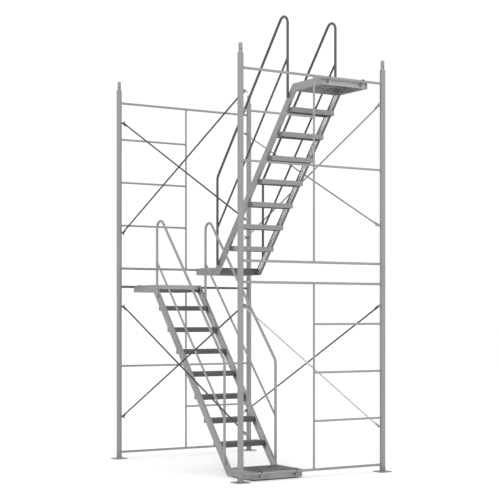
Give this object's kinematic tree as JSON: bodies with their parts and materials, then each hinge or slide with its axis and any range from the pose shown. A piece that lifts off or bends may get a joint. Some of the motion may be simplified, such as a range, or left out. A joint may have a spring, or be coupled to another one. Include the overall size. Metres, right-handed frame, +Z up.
{
  "type": "stair tower",
  "caption": "Open scaffold stair tower of two lifts: tubular end frames, crossed side braces, and two opposed stair flights with landings and handrails.",
  "frame": {"origin": "on the ground, in the middle of the tower between the four base plates", "axes": "+Z up, +Y from the front end frame, where the lower flight is entered, to the back one, +X from the side of the lower flight to the side of the upper flight"},
  "size_m": [1.81, 2.64, 4.5951],
  "materials": {
    "base_plates": "galvanised, dull",
    "posts": "galvanised, dull",
    "frame_tubes": "galvanised, dull",
    "braces": "galvanised, weathered",
    "stringers": "galvanised, dull",
    "treads": "galvanised, dark, weathered",
    "landings": "galvanised, dark, weathered",
    "handrails_lower": "galvanised, dull",
    "handrails_upper": "galvanised, dark, weathered"
  },
  "bodies": {
    "root": {"base_plate_back_left": "base_plates", "base_plate_back_right": "base_plates", "base_plate_front_left": "base_plates", "base_plate_front_right": "base_plates", "brace_lower_left_falling": "braces", "brace_lower_left_rising": "braces", "brace_lower_right_falling": "braces", "brace_lower_right_rising": "braces", "brace_upper_left_falling": "braces", "brace_upper_left_rising": "braces", "brace_upper_right_falling": "braces", "brace_upper_right_rising": "braces", "handrail_lower_left": "handrails_lower", "handrail_lower_right": "handrails_lower", "handrail_upper_left": "handrails_upper", "handrail_upper_right": "handrails_upper", "landing_lower_bottom": "landings", "landing_lower_top": "landings", "landing_upper_bottom": "landings", "landing_upper_top": "landings", "ledger_lower_back_bottom": "frame_tubes", "ledger_lower_back_top": "frame_tubes", "ledger_lower_front_bottom": "frame_tubes", "ledger_lower_front_top": "frame_tubes", "ledger_upper_back_bottom": "frame_tubes", "ledger_upper_back_top": "frame_tubes", "ledger_upper_front_bottom": "frame_tubes", "ledger_upper_front_top": "frame_tubes", "middle_upright_lower_back": "frame_tubes", "middle_upright_lower_front": "frame_tubes", "middle_upright_upper_back": "frame_tubes", "middle_upright_upper_front": "frame_tubes", "post_lower_back_left": "posts", "post_lower_back_right": "posts", "post_lower_front_left": "posts", "post_lower_front_right": "posts", "post_upper_back_left": "posts", "post_upper_back_right": "posts", "post_upper_front_left": "posts", "post_upper_front_right": "posts", "rungs_lower_back": "frame_tubes", "rungs_lower_front": "frame_tubes", "rungs_upper_back": "frame_tubes", "rungs_upper_front": "frame_tubes", "stringer_lower_left": "stringers", "stringer_lower_right": "stringers", "stringer_upper_left": "stringers", "stringer_upper_right": "stringers", "treads_lower": "treads", "treads_upper": "treads"}
  },
  "joints": []
}
